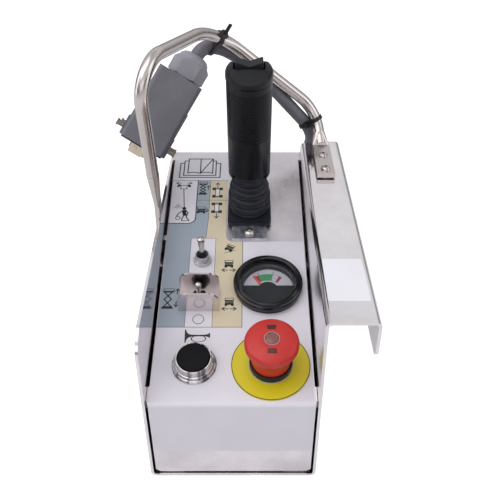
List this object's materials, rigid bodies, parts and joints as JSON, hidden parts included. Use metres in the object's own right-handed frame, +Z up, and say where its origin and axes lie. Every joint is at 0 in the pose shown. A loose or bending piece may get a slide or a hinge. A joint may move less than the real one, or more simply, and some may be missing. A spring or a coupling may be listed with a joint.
{
  "type": "scissor lift control box",
  "caption": "Sloping sheet-metal control box with a rail hook: emergency stop, horn, gauge, guarded toggle, rear toggle, joystick under a bent guard tube, and a cable with a hooded plug",
  "frame": {"origin": "centre of the flat bottom, on its outer face", "axes": "X to the operator's right, Y away from the operator, Z up"},
  "size_m": [0.2097, 0.3237, 0.2921],
  "materials": {
    "shell_metal": "brushed sheet",
    "polished_steel": "polished",
    "screw_steel": "satin",
    "zinc": "zinc plated, satin",
    "chrome": "polished",
    "printed_film": "satin printed film",
    "yellow_disc": "satin",
    "clear_plastic": "clear, glossy",
    "clear_glass": "clear, glossy",
    "black_plastic": "satin",
    "black_gloss": "glossy",
    "grey_plastic": "satin",
    "pale_plastic": "satin",
    "red_plastic": "satin gloss",
    "dial_face": "matt print",
    "black_rubber": "matt",
    "grip_plastic": "satin",
    "cable_jacket": "satin",
    "tie_plastic": "satin",
    "hood_plastic": "satin",
    "gland_plastic": "satin"
  },
  "bodies": {
    "control_box": {"shell": "shell_metal", "cover": "shell_metal", "cover_brackets": "shell_metal", "cover_screws": "screw_steel", "overlay": "printed_film", "guard_tube": "polished_steel", "guard_washers": "zinc", "guard_screws": "screw_steel", "guard_nuts": "zinc", "stop_legend": "yellow_disc", "stop_seal": "clear_plastic", "stop_body": "black_plastic", "stop_nut": "zinc", "stop_contacts": "grey_plastic", "horn_bezel": "chrome", "horn_nut": "zinc", "horn_contacts": "grey_plastic", "gauge_case": "black_plastic", "gauge_bezel": "black_gloss", "gauge_dial": "dial_face", "gauge_mask": "black_plastic", "gauge_glass": "clear_glass", "gauge_clamp": "zinc", "toggle_guard": "polished_steel", "front_toggle_body": "black_plastic", "front_toggle_nut": "zinc", "rear_toggle_body": "zinc", "rear_toggle_nut": "chrome", "stick_plate": "zinc", "stick_screws": "screw_steel", "stick_housing": "black_plastic", "boot_frame": "black_rubber", "boot": "black_rubber", "back_gland": "grey_plastic", "gland_nut": "grey_plastic", "cable": "cable_jacket", "tie_upper": "tie_plastic", "tie_lower": "tie_plastic", "hood": "hood_plastic", "hood_pegs": "screw_steel", "hood_seal": "black_rubber", "hood_insert": "pale_plastic", "hood_clips": "zinc", "hood_pins": "screw_steel", "hood_gland": "gland_plastic"},
    "stop_plunger": {"stop_stem": "grey_plastic"},
    "stop_knob": {"stop_head": "red_plastic", "stop_windows": "black_plastic", "stop_lens": "clear_plastic", "stop_lens_ring": "pale_plastic"},
    "horn_button": {"horn_cap": "black_plastic"},
    "needle": {"gauge_needle": "red_plastic"},
    "front_lever": {"front_toggle_lever": "chrome"},
    "rear_lever": {"rear_toggle_lever": "chrome"},
    "joystick": {"stick_shaft": "screw_steel", "stick_grip": "grip_plastic", "stick_head": "grip_plastic", "rocker_pin": "screw_steel"},
    "thumb_rocker": {"stick_rocker": "black_plastic"},
    "enable_trigger": {"stick_trigger": "grip_plastic"}
  },
  "joints": [
    {"name": "stop_push", "type": "slide", "parent": "control_box", "child": "stop_plunger", "axis": [0, -0.225, 0.9744], "range_m": [-0.0048, 0]},
    {"name": "stop_twist", "type": "hinge", "parent": "stop_plunger", "child": "stop_knob", "pos_m": [0.0293, -0.1131, 0.11914], "axis": [0, -0.225, 0.9744], "range_deg": [0, 45], "stiffness_Nm_per_rad": 0.05},
    {"name": "horn_press", "type": "slide", "parent": "control_box", "child": "horn_button", "axis": [0, -0.225, 0.9744], "range_m": [-0.003, 0], "stiffness_N_per_m": 900},
    {"name": "gauge_sweep", "type": "hinge", "parent": "control_box", "child": "needle", "pos_m": [0.0285, -0.03861, 0.10586], "axis": [0, -0.225, 0.9744], "range_deg": [-68, 0]},
    {"name": "front_toggle_flip", "type": "hinge", "parent": "control_box", "child": "front_lever", "pos_m": [-0.0285, -0.04453, 0.09906], "axis": [0, 0.9744, 0.225], "range_deg": [-12, 12]},
    {"name": "rear_toggle_flip", "type": "hinge", "parent": "control_box", "child": "rear_lever", "pos_m": [-0.0279, -0.00282, 0.10868], "axis": [1, 0, 0], "range_deg": [-12, 12]},
    {"name": "stick_tilt", "type": "hinge", "parent": "control_box", "child": "joystick", "pos_m": [0.0128, 0.05916, 0.11581], "axis": [1, 0, 0], "range_deg": [-15, 15], "stiffness_Nm_per_rad": 4, "deforming": ["boot"]},
    {"name": "rocker_tilt", "type": "hinge", "parent": "joystick", "child": "thumb_rocker", "pos_m": [0.0128, 0.02263, 0.27405], "axis": [0, 0.9744, 0.225], "range_deg": [-8, 8], "stiffness_Nm_per_rad": 0.15},
    {"name": "trigger_pull", "type": "hinge", "parent": "joystick", "child": "enable_trigger", "pos_m": [0.0128, 0.03704, 0.26054], "axis": [1, 0, 0], "range_deg": [-6, 0], "stiffness_Nm_per_rad": 0.25}
  ]
}
